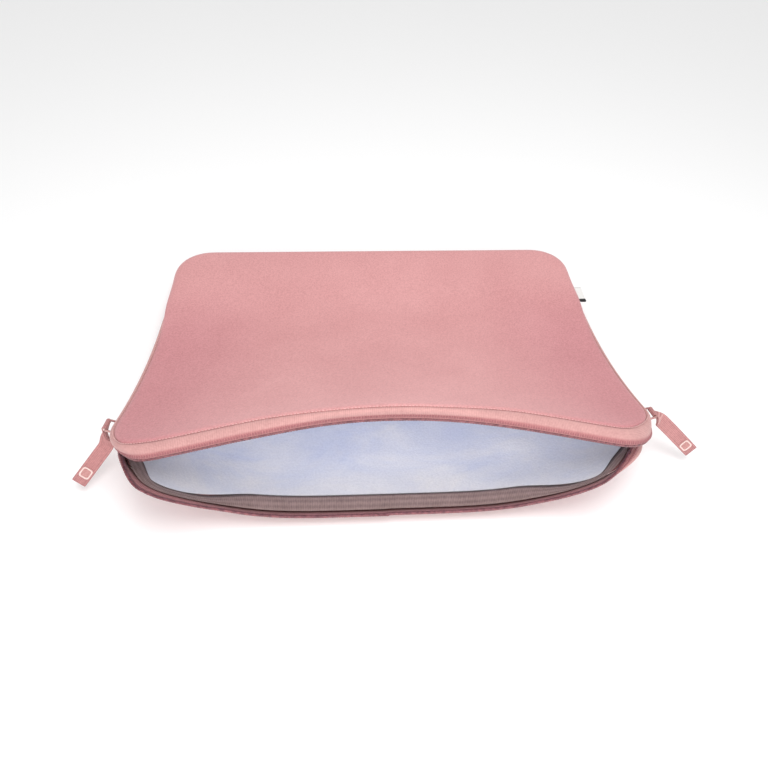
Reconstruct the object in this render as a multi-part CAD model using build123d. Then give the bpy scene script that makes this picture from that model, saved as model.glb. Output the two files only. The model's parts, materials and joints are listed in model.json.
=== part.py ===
from build123d import *
from math import asin, cos, degrees, pi, radians, sin, sqrt
import os

os.makedirs("parts", exist_ok=True)

# A soft laptop sleeve standing with its zipped mouth propped open.
# X runs across the sleeve, the mouth is at -Y, Z is up, the origin is on the table under the middle.

# ---- driving sizes, mm ----
HALF_WIDTH = 166.0          # middle to the outer face of the zip tape
DEPTH = 245.0               # mouth seam to the back fold
WALL = 28.0                 # bottom face to top face where the zip is closed
FRONT_RADIUS = 35.0         # mouth corners, seen from above
BACK_RADIUS = 26.0          # rear corners, seen from above

LIFT = 46.0                 # how far the mouth corners are lifted off the table
LIFT_START = 60.0           # the sides leave the table in front of this Y
MOUTH_ARCH = 35.0           # how far the middle of the upper lip rises above its corners
ARCH_BACK = 30.0            # the arch dies away this far in front of the back fold
ARCH_FULLNESS = 0.7         # below 1 makes the arch broad
CRADLE_POWER = 2.3          # above 1 keeps the middle of the lower panel on the table
SINK = 0.25                 # the table flattens this much of the soft underside

SKIN = 1.0                  # outer knit fabric
FOAM = 4.0                  # memory foam core
FLEECE = 1.5                # plush lining
PANEL = SKIN + FOAM + FLEECE
FOLD_RADIUS = 8.0           # rounding of the folded back edge
FOLD_START = 72.0           # the zipped wall ends and the folded wall begins at this Y

TAPE = 1.0                  # zip tape thickness
COIL = 2.4                  # coil thickness, across the tape
COIL_IN = 0.9               # chain middle to a coil half
COIL_OUT = 3.5              # chain middle to the far side of a coil half
COIL_END = 67.0             # rear end of the coils
BAND = 1.2                  # inner grosgrain band thickness
BAND_WIDTH = 8.0            # inner grosgrain band, measured in from the wall

LIP_CUT = -88.0             # the part of the upper panel in front of this Y is the moving lip
LIP_GAP = 0.4               # clearance at that cut
SLIDER_Y = -80.0            # where both sliders are parked
SLIDER_LENGTH = 12.0
SLIDER_WIDTH = 10.0
PLATE = 1.2                 # slider plate thickness
CHANNEL = 3.0               # space between the slider plates
TAPE_SLOT = 1.8             # space between the slider flanges, for the tape
FLANGE = 1.0                # slider flange width
POST = 1.0                  # web that joins the slider plates between the coils

WIRE = 1.4                  # pull ring wire thickness
RING_WIDTH = 13.6           # pull ring, outside
RING_REACH = 8.5            # pin to the far bar, centre to centre
RING_CORNER = 1.5           # bend radius at the ring's corners, on the wire's middle line
RUNNING_FIT = 0.1           # radial clearance on the pull ring's bars
RING_RAISE = 20.0           # parked pull rings point this far above straight out, degrees
BRIDGE = 4.0                # slider bridge, along the chain
STRAP_WIDTH = 9.5
STRAP_THICK = 2.0
STRAP_HANDLE = 7.0          # pull of a strap's end directions on its curve
PATCH_SIZE = 6.0
PATCH_THICK = 0.6
PATCH_FROM_TIP = 6.5

# How each strap lies, told for a strap on the +X side; the left one is mirrored.
# droop: it leaves its ring this far below straight out, in degrees. tip: middle of its free end.
# run: direction of its straight end, flat: length of that end, facing: the direction it looks in.
# twist: share of the curved length, from the ring, over which it turns to look that way.
STRAPS = {
    "right": {"droop": 43.0, "tip": (211.7, -89.5, 12.0), "run": (0.72, -0.24, -0.65),
              "flat": 22.0, "facing": (-0.49, -0.50, 0.72), "twist": 0.5},
    "left": {"droop": 74.0, "tip": (199.5, -100.3, 10.0), "run": (0.59, -0.65, -0.48),
             "flat": 27.0, "facing": (-0.39, -0.51, 0.77), "twist": 1.0},
}

STOP_LENGTH = 2.8           # end stop, along the chain
STOP_PROUD = 0.8            # end stop, beyond the coils on each face
TAB_THICK = 0.8             # woven tab over the rear end of each chain
TAB_LENGTH = 9.0
TAB_HEIGHT = 13.0
TAB_OVERLAP = 1.0           # the tab starts this far in front of the folded wall
LABEL_REACH = 6.5           # woven side label, out of the seam
LABEL_LENGTH = 17.0         # along the seam
LABEL_THICK = 0.9
LABEL_FRONT = 54.0          # its front edge
LABEL_DROP = 2.6            # its middle below the top face

# ---- values worked out from them ----
Y_FRONT = -DEPTH / 2
Y_BACK = DEPTH / 2
LIFT_RUN = LIFT_START - Y_FRONT
LIFT_RADIUS = (LIFT_RUN ** 2 + LIFT ** 2) / (2 * LIFT)
MIDDLE = WALL / 2 - SINK            # height of the closed chain above the table
CHAIN_X = HALF_WIDTH - TAPE / 2     # plane of the closed chain
REAR_EDGE = LIP_CUT + LIP_GAP / 2   # front edge of what is fixed behind the lip
LIP_EDGE = LIP_CUT - LIP_GAP / 2    # rear edge of the moving lip
PARK_ANGLE = degrees(asin((LIFT_START - SLIDER_Y) / LIFT_RADIUS))
PIN_OUT = CHANNEL / 2 + PLATE + 0.3 + WIRE / 2      # chain plane to the pull ring's pin


def side_lift(y):
    """Height of the side walls above the table: flat at the back, then a circular rise."""
    run = min(max(LIFT_START - y, 0.0), LIFT_RUN + 20)
    return LIFT_RADIUS - sqrt(LIFT_RADIUS ** 2 - run ** 2)


def bottom_z(x, y):
    """Height of the outer underside."""
    share = min(abs(x) / HALF_WIDTH, 1.0)
    return side_lift(y) * (1 - cos(pi * share ** CRADLE_POWER)) / 2 - SINK


def top_z(x, y):
    """Height of the outer top face."""
    share = min(abs(x) / HALF_WIDTH, 1.0)
    arch = ((1 + cos(pi * share)) / 2) ** ARCH_FULLNESS
    arch_end = Y_BACK - ARCH_BACK
    fade = max(arch_end - y, 0.0) / (arch_end - Y_FRONT)
    return side_lift(y) + WALL - SINK + MOUTH_ARCH * arch * fade ** 2


def plan(inset, y_from=-200.0, y_to=200.0):
    """The sleeve's outline moved inward, kept between two values of Y, as a face at Z = 0."""
    half = HALF_WIDTH - inset
    front = Y_FRONT + inset
    back = Y_BACK - inset
    body = Rectangle(2 * half, back - front)
    body = fillet(body.vertices().group_by(Axis.Y)[0], FRONT_RADIUS - inset)
    body = fillet(body.vertices().group_by(Axis.Y)[-1], BACK_RADIUS - inset)
    window = Pos(0, (y_from + y_to) / 2) * Rectangle(500, y_to - y_from)
    return body & window


def column(sketch):
    """A tall prism over a plan face."""
    return extrude(Pos(0, 0, -40) * sketch, amount=240)


def field(height, offset):
    """The surface Z = height(x, y) + offset, a little larger than the sleeve."""
    half = HALF_WIDTH + 6
    across = 49
    along = 33
    rows = []
    for j in range(along):
        y = Y_FRONT - 6 + (DEPTH + 12) * j / (along - 1)
        row = []
        for i in range(across):
            x = -half + 2 * half * i / (across - 1)
            row.append((x, y, height(x, y) + offset))
        rows.append(row)
    return Face.make_surface_from_array_of_points(rows, tol=0.02)


def slab(height, low, high):
    """The space between two copies of a surface, moved up by low and by high."""
    return Part() + Solid.extrude(field(height, low), Vector(0, 0, high - low))


def save(shape, name):
    """Write one node and say what it is."""
    solids = shape.solids()
    if len(solids) != 1:
        raise ValueError(f"{name} has {len(solids)} solids")
    export_step(solids[0], f"parts/{name}.step")
    box = solids[0].bounding_box()
    print(name, round(solids[0].volume), tuple(box.min), tuple(box.max), flush=True)


def panel_plan(edge_inset, y_from, y_to):
    """Outline of a panel layer: out to the wall where there is a zip, in to the fold behind it."""
    zipped = plan(edge_inset, y_from, min(y_to, FOLD_START))
    if y_to <= FOLD_START:
        return zipped
    return zipped + plan(FOLD_RADIUS, FOLD_START, y_to)


def wall_plan(outer, inner, y_from, y_to):
    """Plan of a band that follows the wall, between two insets."""
    return plan(outer, y_from, y_to) - plan(inner, -300, 300)


def keep_side(sketch, side):
    """The half of a plan face on one side: -1 is -X, 1 is +X."""
    return sketch & (Pos(side * 150) * Rectangle(300, 600))


def above_table(shape):
    """Cut away what lies below Z = 0, which leaves a flat face to rest on."""
    return shape - Pos(0, 0, -50) * Box(600, 600, 100)


def make_upper_panel():
    """Skin, foam and lining of the upper panel, in a fixed part and a moving lip."""
    layers = (("skin", 0.0, -SKIN, 0.0), ("foam", TAPE, -SKIN - FOAM, -SKIN),
              ("lining", TAPE, -PANEL, -SKIN - FOAM))
    for layer, inset, low, high in layers:
        sheet = slab(top_z, low, high)
        save(sheet & column(panel_plan(inset, REAR_EDGE, 200)), f"upper_panel_{layer}")
        save(sheet & column(panel_plan(inset, -200, LIP_EDGE)), f"upper_lip_{layer}")


def make_lower_panel():
    """Skin, foam and lining of the lower panel."""
    layers = (("skin", 0.0, 0.0, SKIN), ("foam", TAPE, SKIN, SKIN + FOAM),
              ("lining", TAPE, SKIN + FOAM, PANEL))
    for layer, inset, low, high in layers:
        sheet = slab(bottom_z, low, high)
        save(above_table(sheet & column(panel_plan(inset, -200, 200))), f"lower_panel_{layer}")


def fold_profile(depth):
    """Section of the folded edge at a depth below the outer face, for the +X wall at FOLD_START."""
    radius = FOLD_RADIUS - depth
    low = -SINK + depth
    high = WALL - SINK - depth
    outer = HALF_WIDTH - depth
    centre = HALF_WIDTH - FOLD_RADIUS
    points = [(centre, high), (outer, high - radius), (outer, low + radius), (centre, low)]
    top = RadiusArc(points[0], points[1], radius)
    wall = Line(points[1], points[2])
    bottom = RadiusArc(points[2], points[3], radius)
    close = Line(points[3], points[0])
    face = make_face([top, wall, bottom, close])
    return Plane(origin=(0, FOLD_START, 0), x_dir=(1, 0, 0), z_dir=(0, -1, 0)) * face


def fold_path():
    """The line the folded edge follows, from the +X side round the back to the -X side."""
    x = HALF_WIDTH - FOLD_RADIUS
    y = Y_BACK - FOLD_RADIUS
    r = BACK_RADIUS - FOLD_RADIUS
    right = Line((x, FOLD_START), (x, y - r))
    corner_right = RadiusArc((x, y - r), (x - r, y), -r)
    back = Line((x - r, y), (r - x, y))
    corner_left = RadiusArc((r - x, y), (-x, y - r), -r)
    left = Line((-x, y - r), (-x, FOLD_START))
    return Wire([right, corner_right, back, corner_left, left])


def make_back_fold():
    """Skin, foam and lining where the panels run into each other round the back."""
    layers = (("skin", 0.0, SKIN), ("foam", SKIN, SKIN + FOAM), ("lining", SKIN + FOAM, PANEL))
    for layer, outer, inner in layers:
        profile = fold_profile(outer) - fold_profile(inner)
        band = sweep(profile, path=fold_path(), transition=Transition.ROUND)
        save(above_table(band), f"back_fold_{layer}")


def make_tapes():
    """Zip tapes: the lower one in one length, the upper one parted at the lip."""
    upper = slab(top_z, MIDDLE + COIL_OUT - WALL + SINK, -SKIN)
    lower = slab(bottom_z, SKIN, MIDDLE + SINK - COIL_OUT)
    rear = wall_plan(0, TAPE, REAR_EDGE, FOLD_START)
    save(upper & column(wall_plan(0, TAPE, -200, LIP_EDGE)), "upper_lip_tape")
    save(upper & column(keep_side(rear, -1)), "upper_tape_left")
    save(upper & column(keep_side(rear, 1)), "upper_tape_right")
    save(lower & column(wall_plan(0, TAPE, -200, FOLD_START)), "lower_tape")


def make_coils():
    """Coil rows along the free edges of the tapes."""
    outer = (TAPE - COIL) / 2
    inner = (TAPE + COIL) / 2
    upper = slab(top_z, MIDDLE + COIL_IN - WALL + SINK, MIDDLE + COIL_OUT - WALL + SINK)
    lower = slab(bottom_z, MIDDLE + SINK - COIL_OUT, MIDDLE + SINK - COIL_IN)
    rear = wall_plan(outer, inner, REAR_EDGE, COIL_END)
    save(upper & column(wall_plan(outer, inner, -200, LIP_EDGE)), "upper_lip_coil")
    save(upper & column(keep_side(rear, -1)), "upper_coil_left")
    save(upper & column(keep_side(rear, 1)), "upper_coil_right")
    save(lower & column(wall_plan(outer, inner, -200, COIL_END)), "lower_coil")


def make_bands():
    """Ribbed bands that cover the seams inside the mouth."""
    upper = slab(top_z, -PANEL - BAND, -PANEL)
    lower = slab(bottom_z, PANEL, PANEL + BAND)
    rear = wall_plan(TAPE, BAND_WIDTH, REAR_EDGE, FOLD_START)
    save(upper & column(wall_plan(TAPE, BAND_WIDTH, -200, LIP_EDGE)), "upper_lip_band")
    save(upper & column(keep_side(rear, -1)), "upper_band_left")
    save(upper & column(keep_side(rear, 1)), "upper_band_right")
    save(lower & column(wall_plan(TAPE, BAND_WIDTH, -200, FOLD_START)), "lower_band")


def wall_block(side):
    """The tapes beside an end stop, which the stop is clamped round."""
    tall = 40
    block = Box(TAPE, 20, tall)
    centre = COIL_OUT + tall / 2
    upper = Pos(side * CHAIN_X, COIL_END, MIDDLE + centre) * block
    lower = Pos(side * CHAIN_X, COIL_END, MIDDLE - centre) * block
    return upper + lower


def make_side_trim():
    """End stops of the chains, the tabs behind them and the woven side label."""
    stop = Box(COIL + 2 * STOP_PROUD, STOP_LENGTH, 2 * COIL_OUT)
    stop = fillet(stop.edges().filter_by(Axis.Z), 0.6)
    stop_y = COIL_END + 0.1 + STOP_LENGTH / 2
    tab = Box(TAB_THICK, TAB_LENGTH, TAB_HEIGHT)
    tab = fillet(tab.edges().filter_by(Axis.X), 1.5)
    tab_y = FOLD_START - TAB_OVERLAP + TAB_LENGTH / 2
    for side, word in ((-1, "left"), (1, "right")):
        save(Pos(side * CHAIN_X, stop_y, MIDDLE) * stop - wall_block(side), f"end_stop_{word}")
        save(Pos(side * (HALF_WIDTH + TAB_THICK / 2), tab_y, MIDDLE) * tab, f"side_tab_{word}")
    label = Box(LABEL_REACH, LABEL_LENGTH, LABEL_THICK)
    label_y = LABEL_FRONT + LABEL_LENGTH / 2
    save(Pos(HALF_WIDTH + LABEL_REACH / 2, label_y, WALL - SINK - LABEL_DROP) * label, "side_label")


def chain_up():
    """Direction across the parked chain, from the lower coil to the upper one."""
    angle = radians(PARK_ANGLE)
    return Vector(0, sin(angle), cos(angle))


def slider_plane():
    """Frame of the parked +X slider: local X out of the wall, local Y along the chain to the rear."""
    angle = radians(PARK_ANGLE)
    y = LIFT_START - LIFT_RADIUS * sin(angle)
    z = MIDDLE + LIFT_RADIUS * (1 - cos(angle))
    return Plane(origin=(CHAIN_X, y, z), x_dir=(1, 0, 0), z_dir=chain_up())


def drooping(angle):
    """Unit vector that points out of the +X wall and droops across the chain by an angle in degrees."""
    return Vector(1, 0, 0) * cos(radians(angle)) - chain_up() * sin(radians(angle))


def slider_solid():
    """Two plates joined by a post, with flanges that leave slots for the tapes, and a bridge."""
    nose = -SLIDER_LENGTH / 2
    tail = SLIDER_LENGTH / 2
    wide = SLIDER_WIDTH / 2
    narrow = wide - 0.8
    corners = [(nose, -wide), (nose + 4, -wide), (tail, -narrow),
               (tail, narrow), (nose + 4, wide), (nose, wide)]
    outline = make_face(Polyline(*corners, close=True))
    outline = fillet(outline.vertices(), 0.7)
    seen_from_outside = Plane(origin=(0, 0, 0), x_dir=(0, 1, 0), z_dir=(1, 0, 0))
    body = extrude(seen_from_outside * outline, amount=CHANNEL / 2 + PLATE, both=True)
    body = body - Box(CHANNEL, 40, SLIDER_WIDTH - 2 * FLANGE) - Box(TAPE_SLOT, 40, 40)
    body = body + Pos(0, nose + 2.6, 0) * Box(CHANNEL + 0.4, 4.0, POST)
    wall = WIRE / 2 + RUNNING_FIT + 1.1
    foot_end = CHANNEL / 2 + PLATE / 2
    arch = Pos(PIN_OUT, 0) * Circle(wall)
    foot = Pos((PIN_OUT + foot_end) / 2, 0) * Rectangle(PIN_OUT - foot_end, 2 * wall)
    hole = Pos(PIN_OUT, 0) * Circle(WIRE / 2 + RUNNING_FIT)
    bridge = extrude(Plane.XZ * (arch + foot - hole), amount=BRIDGE / 2, both=True)
    return body + bridge


def ring_plane():
    """Frame of the +X pull ring: origin on the pin, local X to the far bar, local Z along the bars."""
    frame = slider_plane()
    pin = frame.origin + frame.x_dir * PIN_OUT
    return Plane(origin=pin, x_dir=drooping(-RING_RAISE), z_dir=frame.y_dir)


def bar_plane():
    """Frame of the ring's far bar, turned the same way as the ring."""
    ring = ring_plane()
    return Plane(origin=ring.origin + ring.x_dir * RING_REACH, x_dir=ring.x_dir, z_dir=ring.z_dir)


def ring_solid():
    """A rounded wire rectangle: one bar runs in the slider's bridge, the other holds the strap."""
    outline = RectangleRounded(RING_REACH, RING_WIDTH - WIRE, RING_CORNER)
    loop = Plane.XZ * (Pos(RING_REACH / 2, 0) * outline)
    line = loop.wire()
    section = Plane(origin=line @ 0, z_dir=line % 0) * Circle(WIRE / 2)
    return sweep(section, path=line)


def strap_frames(shape):
    """Frames down a strap: origin on its middle line, local X across it, local Z along it."""
    bar = bar_plane()
    leave = drooping(shape["droop"])
    start = bar.origin + leave * (WIRE / 2 + RUNNING_FIT + 0.3)
    tip = Vector(*shape["tip"])
    run = Vector(*shape["run"]).normalized()
    knee = tip - run * shape["flat"]
    leaving = start + leave * STRAP_HANDLE
    arriving = knee - run * STRAP_HANDLE
    frames = []
    steps = 5
    for i in range(steps):
        t = i / (steps - 1)
        u = 1 - t
        middle = start * u ** 3 + (leaving * u + arriving * t) * (3 * u * t) + knee * t ** 3
        along = (leaving - start) * u ** 2 + (arriving - leaving) * (2 * u * t) + (knee - arriving) * t ** 2
        along = along.normalized()
        flat = Vector(*shape["facing"]).cross(along).normalized()
        twist = min(t / shape["twist"], 1.0)
        turn = twist * twist * (3 - 2 * twist)
        across = bar.z_dir * (1 - turn) + flat * turn
        across = (across - along * across.dot(along)).normalized()
        frames.append(Plane(origin=middle, x_dir=across, z_dir=along))
    frames.append(Plane(origin=tip, x_dir=frames[-1].x_dir, z_dir=frames[-1].z_dir))
    return frames


def strap_solid(frames, flat):
    """A folded webbing strap: a loop round the ring's bar, a twisting length and a flat end."""
    bar = bar_plane()
    bore = WIRE / 2 + RUNNING_FIT
    loop = bar * Cylinder(bore + STRAP_THICK / 2, STRAP_WIDTH)
    section = Rectangle(STRAP_WIDTH, STRAP_THICK)
    twisting = loft([frame * section for frame in frames[:-1]])
    end = extrude(frames[-2] * section, amount=flat)
    return loop + twisting + end - bar * Cylinder(bore, 30)


def patch_solid(frames):
    """A plain rounded grip patch on the flat end of the strap."""
    block = Box(PATCH_SIZE, PATCH_THICK, PATCH_SIZE)
    block = fillet(block.edges().filter_by(Axis.Y), 0.8)
    return frames[-1] * (Pos(0, (STRAP_THICK + PATCH_THICK) / 2, -PATCH_FROM_TIP) * block)


def make_pulls():
    """Sliders, pull rings, straps and grip patches: made for the +X side, mirrored for -X."""
    slider = slider_plane() * slider_solid()
    ring = ring_plane() * ring_solid()
    for word, shape in STRAPS.items():
        frames = strap_frames(shape)
        pieces = {"slider": slider, "pull_ring": ring,
                  "pull_strap": strap_solid(frames, shape["flat"]),
                  "pull_patch": patch_solid(frames)}
        for name, piece in pieces.items():
            if word == "left":
                piece = mirror(piece, about=Plane.YZ)
            save(piece, f"{name}_{word}")


make_side_trim()
make_pulls()
make_back_fold()
make_tapes()
make_coils()
make_bands()
make_lower_panel()
make_upper_panel()
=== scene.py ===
import json
import math

import bmesh
import bpy
from mathutils import Matrix, Vector, noise


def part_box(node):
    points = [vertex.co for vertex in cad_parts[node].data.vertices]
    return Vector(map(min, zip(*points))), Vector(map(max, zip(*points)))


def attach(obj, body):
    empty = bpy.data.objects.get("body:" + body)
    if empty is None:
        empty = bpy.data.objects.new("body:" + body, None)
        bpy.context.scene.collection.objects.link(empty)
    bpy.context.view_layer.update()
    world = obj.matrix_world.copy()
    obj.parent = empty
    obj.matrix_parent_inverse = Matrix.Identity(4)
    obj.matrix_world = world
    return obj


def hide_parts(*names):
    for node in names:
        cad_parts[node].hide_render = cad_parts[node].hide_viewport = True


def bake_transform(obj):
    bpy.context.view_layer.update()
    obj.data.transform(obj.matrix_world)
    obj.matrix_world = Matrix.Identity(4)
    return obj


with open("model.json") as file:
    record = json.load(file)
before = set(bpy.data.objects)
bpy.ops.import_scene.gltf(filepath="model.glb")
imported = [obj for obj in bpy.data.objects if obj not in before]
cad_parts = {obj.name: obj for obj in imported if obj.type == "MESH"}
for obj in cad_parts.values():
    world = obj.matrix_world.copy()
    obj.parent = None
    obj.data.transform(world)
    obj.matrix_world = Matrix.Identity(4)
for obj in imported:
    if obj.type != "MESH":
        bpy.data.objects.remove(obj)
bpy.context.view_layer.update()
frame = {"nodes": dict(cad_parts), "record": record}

MM = 0.001

# ---- sizes read from the frame ----
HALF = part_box("lower_tape")[1].x            # middle to the outer face of the zip tape
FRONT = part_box("lower_tape")[0].y           # mouth seam
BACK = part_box("back_fold_skin")[1].y        # back fold
WALL_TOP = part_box("back_fold_skin")[1].z    # top face where the zip is closed
FOLD_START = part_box("back_fold_skin")[0].y  # the zipped wall ends here
COIL_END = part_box("lower_coil")[1].y        # the coil rows end here

# ---- the sleeve's form, as the CAD states it ----
SINK = 0.25 * MM
WALL = WALL_TOP + SINK
MIDDLE = WALL / 2 - SINK    # height of the back fold's middle line above the table
FRONT_RADIUS = 35 * MM
BACK_RADIUS = 26 * MM
LIFT = 46 * MM
LIFT_START = 60 * MM
MOUTH_ARCH = 35 * MM
ARCH_BACK = 30 * MM
ARCH_FULLNESS = 0.7
CRADLE_POWER = 2.3
LIFT_RUN = LIFT_START - FRONT
LIFT_RADIUS = (LIFT_RUN ** 2 + LIFT ** 2) / (2 * LIFT)

# ---- soft build, in from the outer face ----
PANEL = 5.0 * MM            # knit and foam
FLEECE = 1.5 * MM           # plush lining
LINING_IN = 9.8 * MM        # edge of the lining, in from the wall
SEAM_IN = 1.2 * MM          # zip seam, in from the wall
SEAM_DROP = 2.4 * MM        # panel face down to the zip seam
SEAM_ROLL = 4.0 * MM        # width of the rounded edge beside that seam
FOLD_ROLL = 6.5 * MM        # width of the rounded edge at the back fold
FOLD_LAP = 2.0 * MM         # the folded sheet's two halves overlap this much at the fold's middle
FOLD_FULL = 5.0 * MM        # the padded fold swells out this far
FOLD_FADE = (50 * MM, 92 * MM)      # the rounded back edge grows in between these Y
FULL_FADE = (-5 * MM, 105 * MM)     # and the swelling between these

# ---- the open mouth, which differs a little left and right ----
LIP_DRAWN = {"left": 3.5 * MM, "right": 6.5 * MM}       # upper seam drawn back beside the middle
LIP_STANDS = {"left": 3.0 * MM, "right": 1.0 * MM}      # upper coil standing forward there
LEAN = {"left": 7.0 * MM, "right": 6.5 * MM}            # lower coil leaning forward
LEAN_MORE = {"left": 4.5 * MM, "right": 1.5 * MM}       # and this much more towards the corner
LEAN_SINK = 2.4 * MM        # the leaning coil sinks this much
TUCK = 5.0 * MM             # the lower coil's right corner is tucked in
LINING_OUT = {"left": 10.0 * MM, "right": 9.0 * MM}     # lower lining filling the front corners

# ---- zip and pulls ----
COIL_NEAR = 10.9 * MM       # panel face to the near side of a coil row
COIL_FAR = 13.8 * MM        # panel face to the far side of a coil row
COIL_PITCH = 1.5 * MM
STRAP_WIDTH = 9.5 * MM
STRAP_LAYER = 0.9 * MM      # webbing thickness; the strap is folded double
STRAP_HANDLE = 7 * MM       # pull of a strap's end directions on its curve
BAR_RADIUS = 0.7 * MM       # wire of the pull ring
LABEL_OUT = 1.0 * MM        # the side label stands out with the swollen side
PATCH_SIZE = 7.0 * MM
PATCH_FROM_TIP = 8.0 * MM   # middle of the patch to the strap's free end

# How each strap lies, told for a strap on the +X side; the left one is mirrored.
# droop: it leaves its ring this far below straight out. tip: middle of its free end, mm.
# run: direction of its straight end, flat: length of that end in mm, facing: where it looks.
# twist: share of the curved length, from the ring, over which it turns to look that way.
STRAPS = {
    "right": {"droop": 43.0, "tip": (211.7, -89.5, 12.0), "run": (0.72, -0.24, -0.65),
              "flat": 22.0, "facing": (-0.49, -0.50, 0.72), "twist": 0.5},
    "left": {"droop": 74.0, "tip": (199.5, -100.3, 10.0), "run": (0.59, -0.65, -0.48),
             "flat": 27.0, "facing": (-0.39, -0.51, 0.77), "twist": 1.0},
}
JOINTS = {joint["name"]: joint for joint in frame["record"]["behaviour"]["joints"]}


# ---------------------------------------------------------------- form

def smooth(value, low, high):
    """0 below low, 1 above high, with soft ends."""
    t = min(max((value - low) / (high - low), 0.0), 1.0)
    return t * t * (3 - 2 * t)


def side_of(x):
    return "left" if x < 0 else "right"


def side_lift(y):
    """Height of the side walls above the table."""
    run = min(max(LIFT_START - y, 0.0), LIFT_RUN + 20 * MM)
    return LIFT_RADIUS - math.sqrt(LIFT_RADIUS ** 2 - run ** 2)


def bottom_z(x, y):
    """Height of the outer underside, flattened by the table."""
    share = min(abs(x) / HALF, 1.0)
    return side_lift(y) * (1 - math.cos(math.pi * share ** CRADLE_POWER)) / 2 - SINK


def top_z(x, y):
    """Height of the outer top face."""
    share = min(abs(x) / HALF, 1.0)
    arch = ((1 + math.cos(math.pi * share)) / 2) ** ARCH_FULLNESS
    arch_end = BACK - ARCH_BACK
    fade = max(arch_end - y, 0.0) / (arch_end - FRONT)
    return side_lift(y) + WALL - SINK + MOUTH_ARCH * arch * fade ** 2


def round_corner(x, y, inset):
    """Pull a point of the square grid in so that the sheet's corners are round."""
    half = HALF - inset
    front = FRONT + inset
    back = BACK - inset
    radius = (FRONT_RADIUS if y < 0 else BACK_RADIUS) - inset
    centre_x = half - radius
    centre_y = front + radius if y < 0 else back - radius
    dx = abs(x) - centre_x
    dy = (centre_y - y) if y < 0 else (y - centre_y)
    if dx <= 0 or dy <= 0:
        return x, y
    scale = max(dx, dy) / math.hypot(dx, dy)
    sign = 1 if x > 0 else -1
    new_y = centre_y - dy * scale if y < 0 else centre_y + dy * scale
    return sign * (centre_x + dx * scale), new_y


def wall_path(step, y_end=FOLD_START):
    """Stations along the zipped wall from the rear left, round the mouth, to the rear right.
    Each is (x, y, outward x, outward y, distance)."""
    radius = FRONT_RADIUS
    corner_y = FRONT + radius
    straight = y_end - corner_y
    arc = radius * math.pi / 2
    across = 2 * (HALF - radius)
    total = 2 * (straight + arc) + across
    count = max(2, round(total / step))
    stations = []
    for i in range(count + 1):
        s = total * i / count
        mirrored = s > total / 2
        t = total - s if mirrored else s
        if t < straight:
            x, y, nx, ny = -HALF, y_end - t, -1.0, 0.0
        elif t < straight + arc:
            angle = (t - straight) / radius
            nx, ny = -math.cos(angle), -math.sin(angle)
            x, y = -(HALF - radius) + radius * nx, corner_y + radius * ny
        else:
            x, y, nx, ny = -(HALF - radius) + (t - straight - arc), FRONT, 0.0, -1.0
        if mirrored:
            x, nx = -x, -nx
        stations.append((x, y, nx, ny, s))
    return stations


# ---------------------------------------------------------------- mesh helpers

def new_object(name, vertices, faces, coords=None):
    """A mesh object. coords are the points that its woven pattern is drawn in, in metres."""
    mesh = bpy.data.meshes.new(name)
    mesh.from_pydata(vertices, [], faces)
    if coords is not None:
        layer = mesh.attributes.new("weave", "FLOAT_VECTOR", "POINT")
        flat = [c for point in coords for c in point]
        layer.data.foreach_set("vector", flat)
    bm = bmesh.new()
    bm.from_mesh(mesh)
    bmesh.ops.recalc_face_normals(bm, faces=bm.faces)
    bm.to_mesh(mesh)
    bm.free()
    mesh.polygons.foreach_set("use_smooth", [True] * len(mesh.polygons))
    obj = bpy.data.objects.new(name, mesh)
    bpy.context.collection.objects.link(obj)
    return obj


def subdivide(obj, levels=1):
    """Smooth the piece and keep the result as its mesh."""
    modifier = obj.modifiers.new("smooth", "SUBSURF")
    modifier.levels = levels
    modifier.render_levels = levels
    graph = bpy.context.evaluated_depsgraph_get()
    mesh = bpy.data.meshes.new_from_object(obj.evaluated_get(graph))
    obj.modifiers.clear()
    old = obj.data
    obj.data = mesh
    bpy.data.meshes.remove(old)
    return obj


def swept(name, loops, coords=None):
    """A closed body through equal loops of points, capped at both ends."""
    size = len(loops[0])
    vertices = [p for loop in loops for p in loop]
    faces = []
    for i in range(len(loops) - 1):
        a = i * size
        b = a + size
        for j in range(size):
            k = (j + 1) % size
            faces.append((a + j, a + k, b + k, b + j))
    faces.append(tuple(reversed(range(size))))
    last = (len(loops) - 1) * size
    faces.append(tuple(range(last, last + size)))
    flat = None if coords is None else [p for loop in coords for p in loop]
    return new_object(name, vertices, faces, flat)


def grid_lines(low, high, step, rims_low, rims_high):
    """Grid positions between low and high: the given distances in from each end, then even steps."""
    lines = [low + r for r in rims_low]
    end = high - rims_high[-1]
    start = lines[-1]
    count = max(1, round((end - start) / step))
    lines += [start + (end - start) * i / count for i in range(1, count)]
    lines += [high - r for r in reversed(rims_high)]
    return lines


RIMS = [r * MM for r in (0, 0.5, 1.4, 2.8, 4.6, 7.0, 10.0, 14.0, 18.5)]


def inward(x, y):
    """Unit direction from the front edge or a front corner towards the sleeve's middle."""
    centre_x = HALF - FRONT_RADIUS
    centre_y = FRONT + FRONT_RADIUS
    dx = max(abs(x) - centre_x, 0.0)
    dy = max(centre_y - y, 0.001 * MM)
    length = math.hypot(dx, dy)
    return -math.copysign(dx / length, x), dy / length


def lip_draw(x, y):
    """How far the upper lip's seam is drawn back, and how far its coil stands forward."""
    across = abs(x)
    side = side_of(x)
    share = smooth(across, 20 * MM, 75 * MM) * smooth(-y, 84 * MM, 117 * MM)
    if side == "left":
        share *= 1 - smooth(across, 138 * MM, 156 * MM)
    return LIP_DRAWN[side] * share, LIP_STANDS[side] * share


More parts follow.
